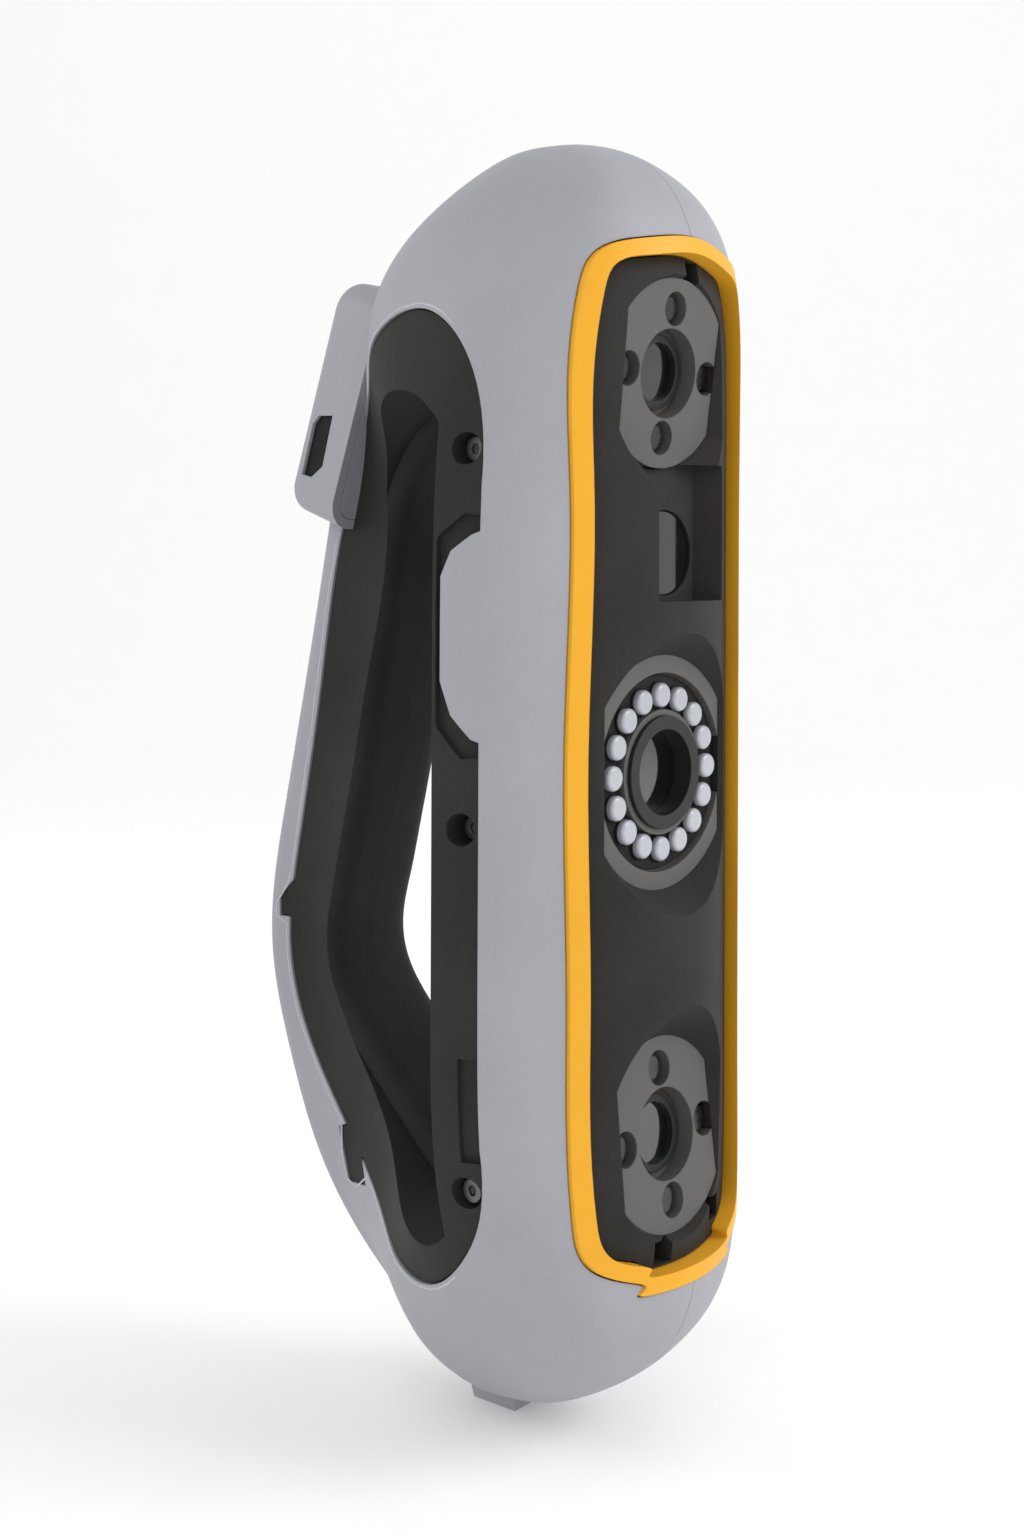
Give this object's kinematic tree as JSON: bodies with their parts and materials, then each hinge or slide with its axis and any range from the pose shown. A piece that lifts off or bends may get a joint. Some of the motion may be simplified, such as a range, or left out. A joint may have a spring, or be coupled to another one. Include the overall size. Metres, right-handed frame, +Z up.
{
  "type": "handheld 3d scanner",
  "caption": "Upright handheld 3-D scanner with cameras, a light ring and a pattern projector behind a curved front mask, a closed loop handle and a rear display pod with buttons.",
  "frame": {"origin": "centre of the cable socket's mouth, on the seam plane of the two shells and at the lowest point of the upright scanner", "axes": "+Z is up along the scanner's length, -Y is the way the sensors look, +Y points to the handle, X runs across the body"},
  "size_m": [0.089, 0.122, 0.2812],
  "materials": {
    "shell_plastic": "satin",
    "grip_plastic": "matte",
    "bezel_plastic": "satin",
    "mask_plastic": "matte",
    "housing_plastic": "matte",
    "black_metal": "satin",
    "lens_glass": "gloss",
    "circuit_board": "satin",
    "led_epoxy": "gloss",
    "ir_led": "gloss",
    "bare_aluminium": "satin",
    "screen_black": "gloss",
    "display_black": "gloss",
    "button_plastic": "satin",
    "screw_steel": "satin",
    "brass_insert": "satin",
    "contact_black": "matte",
    "black_insert": "matte"
  },
  "bodies": {
    "scanner": {"left_shell": "shell_plastic", "right_shell": "shell_plastic", "left_grip": "grip_plastic", "right_grip": "grip_plastic", "front_bezel": "bezel_plastic", "front_mask": "mask_plastic", "upper_camera_housing": "housing_plastic", "lower_camera_housing": "housing_plastic", "texture_camera_housing": "housing_plastic", "upper_lens_barrel": "black_metal", "lower_lens_barrel": "black_metal", "texture_lens_barrel": "black_metal", "upper_lens": "lens_glass", "lower_lens": "lens_glass", "texture_lens": "lens_glass", "upper_sensor_board": "circuit_board", "lower_sensor_board": "circuit_board", "infrared_leds": "ir_led", "light_ring_board": "circuit_board", "light_ring_leds": "led_epoxy", "projector_housing": "housing_plastic", "projector_window": "lens_glass", "projector_lens": "lens_glass", "optical_frame": "bare_aluminium", "main_board": "circuit_board", "heat_sink": "bare_aluminium", "pod_housing": "shell_plastic", "pod_back_plate": "shell_plastic", "pod_side_inserts": "black_insert", "screen_glass": "screen_black", "display_module": "display_black", "button_board": "circuit_board", "connector_block": "shell_plastic", "connector_contacts": "contact_black", "side_screws": "screw_steel", "screw_inserts": "brass_insert"},
    "scan_button": {"scan_button": "bezel_plastic"},
    "plus_button": {"plus_button": "button_plastic"},
    "minus_button": {"minus_button": "button_plastic"}
  },
  "joints": [
    {"name": "scan_button_press", "type": "slide", "parent": "scanner", "child": "scan_button", "axis": [0, -0.9455, -0.3256], "range_m": [0, 0.0008], "stiffness_N_per_m": 900},
    {"name": "plus_button_press", "type": "slide", "parent": "scanner", "child": "plus_button", "axis": [0, -0.9455, -0.3256], "range_m": [0, 0.0008], "stiffness_N_per_m": 900},
    {"name": "minus_button_press", "type": "slide", "parent": "scanner", "child": "minus_button", "axis": [0, -0.9455, -0.3256], "range_m": [0, 0.0008], "stiffness_N_per_m": 900}
  ]
}
